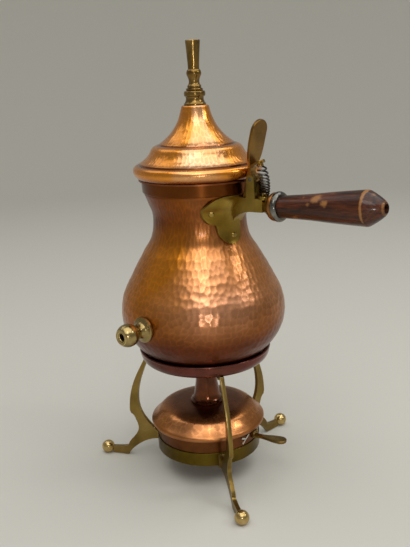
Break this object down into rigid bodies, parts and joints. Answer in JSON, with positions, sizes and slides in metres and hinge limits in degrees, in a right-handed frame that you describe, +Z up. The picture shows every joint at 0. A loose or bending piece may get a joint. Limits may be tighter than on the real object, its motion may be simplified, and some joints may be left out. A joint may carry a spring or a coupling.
{
  "type": "samovar",
  "caption": "Hammered copper samovar with a pear-shaped pot, stepped lid, ball-ended tap worked by a thumb lever and wooden handle, on a legged stand over a spirit lamp.",
  "frame": {"origin": "on the floor under the middle of the whole footprint, from the left foot to the grip's end and from the tap's end to the rear foot", "axes": "+Z up along the pot's axis, +X the way the handle points, -Y the way the tap points"},
  "size_m": [0.2453, 0.1836, 0.34],
  "materials": {
    "ring_copper": "spun copper, dark and reddish, satin",
    "leg_brass": "sawn brass bar, satin with bright edges",
    "foot_brass": "turned brass, worn bright",
    "holder_brass": "turned brass, satin",
    "lamp_copper": "hammered copper, polished and lightly tarnished",
    "wick_cotton": "twisted cotton, matt",
    "clip_nickel": "nickel-plated strip, bright",
    "pot_copper": "hammered copper, polished and lightly tarnished",
    "band_copper": "smooth copper, dark polish",
    "lid_copper": "hammered copper, polished",
    "finial_brass": "turned brass, browned",
    "tap_brass": "turned brass, polished",
    "washer_fibre": "red fibre, matt",
    "bracket_brass": "cast brass, olive with bright worn edges",
    "ferrule_copper": "turned copper, satin",
    "collar_steel": "polished steel",
    "grip_wood": "turned hardwood, red-brown lacquer, worn",
    "spring_steel": "spring steel wire, dark with bright crests"
  },
  "bodies": {
    "stand": {"stand_ring": "ring_copper", "front_leg": "leg_brass", "left_leg": "leg_brass", "rear_leg": "leg_brass", "front_foot": "foot_brass", "left_foot": "foot_brass", "rear_foot": "foot_brass", "lamp_holder": "holder_brass", "ring_screws": "leg_brass", "holder_screws": "leg_brass"},
    "lamp": {"lamp_bowl": "lamp_copper", "lamp_dome": "lamp_copper", "wick_tube": "lamp_copper", "wick": "wick_cotton", "lamp_tab": "leg_brass", "tab_rivets": "leg_brass", "tab_clip": "clip_nickel"},
    "pot": {"pot_body": "pot_copper", "pot_base": "pot_copper", "neck_band": "band_copper", "tap_spout": "tap_brass", "tap_rose": "tap_brass", "tap_washer": "washer_fibre", "tap_nut": "tap_brass", "outlet_pipe": "lamp_copper", "valve_body": "tap_brass", "crank_bracket": "tap_brass", "crank_pin": "tap_brass", "guide_bush": "tap_brass", "handle_bracket": "bracket_brass", "bracket_rivets": "bracket_brass", "ferrule": "ferrule_copper", "handle_collar": "collar_steel", "grip": "grip_wood", "handle_rod": "collar_steel", "lever_pin": "collar_steel", "return_spring": "spring_steel"},
    "lid": {"lid": "lid_copper", "lid_collar": "band_copper", "finial": "finial_brass", "finial_nut": "finial_brass"},
    "lever": {"lever": "bracket_brass"},
    "push_rod": {"push_rod": "tap_brass"},
    "crank": {"bell_crank": "tap_brass"},
    "valve": {"valve_rod": "tap_brass", "rod_nut": "tap_brass"}
  },
  "joints": [
    {"name": "pot_lift", "type": "slide", "parent": "stand", "child": "pot", "axis": [0, 0, 1], "range_m": [0, 0.12]},
    {"name": "lid_lift", "type": "slide", "parent": "pot", "child": "lid", "axis": [0, 0, 1], "range_m": [0, 0.08]},
    {"name": "lamp_lift", "type": "slide", "parent": "stand", "child": "lamp", "axis": [0, 0, 1], "range_m": [0, 0.0095]},
    {"name": "lever_press", "type": "hinge", "parent": "pot", "child": "lever", "pos_m": [0.01956, -0.00532, 0.243], "axis": [0, 1, 0], "range_deg": [0, 8], "stiffness_Nm_per_rad": 1, "springref_deg": -5.73, "deforming": ["return_spring"]},
    {"name": "push_rod_slide", "type": "slide", "parent": "pot", "child": "push_rod", "axis": [-1, 0, 0], "range_m": [0, 0.003]},
    {"name": "crank_turn", "type": "hinge", "parent": "pot", "child": "crank", "pos_m": [-0.01004, -0.00532, 0.236], "axis": [0, 1, 0], "range_deg": [0, 19]},
    {"name": "valve_lift", "type": "slide", "parent": "pot", "child": "valve", "axis": [0, 0, 1], "range_m": [0, 0.0078]}
  ],
  "couplings": [
    {"joint": "push_rod_slide", "follows": "lever_press", "m_per_rad": 0.02005},
    {"joint": "crank_turn", "follows": "lever_press", "ratio": 2.3},
    {"joint": "valve_lift", "follows": "lever_press", "m_per_rad": 0.0534}
  ]
}
